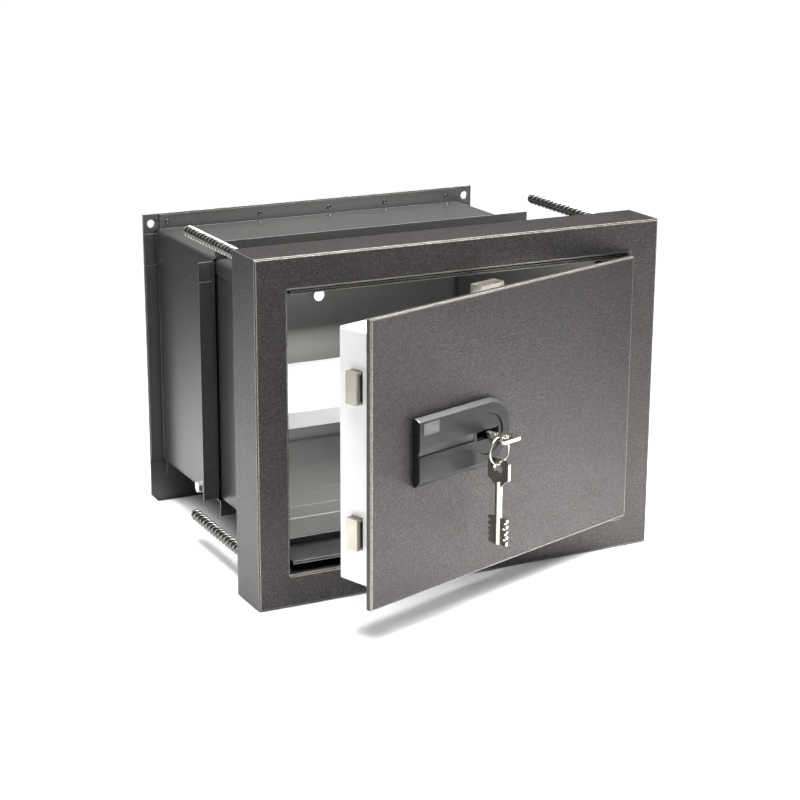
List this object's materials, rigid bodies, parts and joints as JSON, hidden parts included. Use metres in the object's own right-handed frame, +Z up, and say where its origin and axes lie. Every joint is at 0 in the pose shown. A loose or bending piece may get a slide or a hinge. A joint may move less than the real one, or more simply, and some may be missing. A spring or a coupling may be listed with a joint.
{
  "type": "wall safe",
  "caption": "Wall safe with a flanged front frame, hinged door with key-driven side, top and bottom bolts, a shelf, and a rear box that slides for depth.",
  "frame": {"origin": "middle of the frame's bottom edge, in the plane of the frame's front face", "axes": "+X to the right seen from the front, +Y into the wall, +Z up"},
  "size_m": [0.44, 0.4748, 0.344],
  "materials": {
    "frame_paint": "fine hammered anthracite paint",
    "body_paint": "smooth satin anthracite paint",
    "white_enamel": "white powder coat",
    "bolt_nickel": "satin nickel plate",
    "key_nickel": "polished nickel plate",
    "zinc_steel": "bright zinc plate",
    "hardened_steel": "dark hardened steel",
    "anchor_steel": "hot-rolled ribbed bar",
    "lock_brass": "plain brass",
    "lock_plastic": "moulded grey plastic"
  },
  "bodies": {
    "frame": {"front_frame": "frame_paint", "frame_returns": "frame_paint", "frame_back_plate": "frame_paint", "door_jambs": "frame_paint", "wall_anchors": "anchor_steel", "front_shell": "body_paint", "front_top_cover": "body_paint", "shelf_brackets": "body_paint", "shelf_rivets": "zinc_steel", "shelf": "white_enamel", "hinge_brackets": "body_paint", "hinge_pins": "zinc_steel"},
    "rear_box": {"rear_shell": "body_paint", "rear_top_cover": "body_paint", "rear_plate": "body_paint", "clamp_nuts": "zinc_steel", "clamp_screws": "zinc_steel"},
    "door": {"door_plate": "frame_paint", "door_lining": "white_enamel", "lining_posts": "zinc_steel", "lining_screws": "zinc_steel", "hinge_arm_upper": "body_paint", "hinge_arm_lower": "body_paint", "hard_plate": "hardened_steel", "lock_case": "zinc_steel", "lock_cover": "zinc_steel", "lock_posts": "zinc_steel", "lock_screws": "zinc_steel", "lever_post": "zinc_steel", "lever_springs": "hardened_steel", "escutcheon": "lock_plastic", "blank_plate": "bolt_nickel", "keyhole_disc": "lock_plastic", "bolt_guide_rail": "zinc_steel", "strip_guides": "zinc_steel"},
    "levers": {"lever_pack": "lock_brass"},
    "side_bolts": {"left_bolt_bar": "zinc_steel", "left_bolt_upper": "bolt_nickel", "left_bolt_lower": "bolt_nickel", "bolt_screws": "zinc_steel"},
    "upper_bolt": {"top_bolt": "bolt_nickel", "top_bolt_rod": "zinc_steel"},
    "lower_bolt": {"bottom_bolt": "bolt_nickel", "bottom_bolt_rod": "zinc_steel"},
    "lock_drive": {"cam_disc": "zinc_steel", "key_barrel": "lock_brass", "key": "key_nickel"},
    "ring": {"key_ring": "key_nickel"},
    "hanging_key": {"spare_key": "key_nickel"}
  },
  "joints": [
    {"name": "depth_slide", "type": "slide", "parent": "frame", "child": "rear_box", "axis": [0, 1, 0], "range_m": [-0.094, 0.025]},
    {"name": "door_swing", "type": "hinge", "parent": "frame", "child": "door", "pos_m": [0.205, 0.008, 0.17], "axis": [0, 0, 1], "range_deg": [-18.6, 76]},
    {"name": "key_turn", "type": "hinge", "parent": "door", "child": "lock_drive", "pos_m": [-0.02276, -0.07709, 0.175], "axis": [0.319, -0.9478, 0], "range_deg": [0, 90]},
    {"name": "side_bolt_slide", "type": "slide", "parent": "door", "child": "side_bolts", "axis": [-0.9478, -0.319, 0], "range_m": [0, 0.00801]},
    {"name": "upper_bolt_slide", "type": "slide", "parent": "door", "child": "upper_bolt", "axis": [0, 0, 1], "range_m": [0, 0.00801]},
    {"name": "lower_bolt_slide", "type": "slide", "parent": "door", "child": "lower_bolt", "axis": [0, 0, -1], "range_m": [0, 0.00801]},
    {"name": "lever_swing", "type": "hinge", "parent": "door", "child": "levers", "pos_m": [-0.00923, -0.05144, 0.175], "axis": [0.319, -0.9478, 0], "range_deg": [-3.61, 0]},
    {"name": "ring_turn", "type": "hinge", "parent": "lock_drive", "child": "ring", "pos_m": [-0.01319, -0.10552, 0.175], "axis": [0.319, -0.9478, 0], "range_deg": [-90.1, 0]},
    {"name": "spare_key_swing", "type": "hinge", "parent": "ring", "child": "hanging_key", "pos_m": [-0.02181, -0.10842, 0.1525], "axis": [-0.9478, -0.319, 0], "range_deg": [-10, 60]}
  ],
  "couplings": [
    {"joint": "side_bolt_slide", "follows": "key_turn", "m_per_rad": 0.005093},
    {"joint": "upper_bolt_slide", "follows": "key_turn", "m_per_rad": 0.005093},
    {"joint": "lower_bolt_slide", "follows": "key_turn", "m_per_rad": 0.005093},
    {"joint": "lever_swing", "follows": "key_turn", "ratio": -0.04},
    {"joint": "ring_turn", "follows": "key_turn", "ratio": -1}
  ]
}
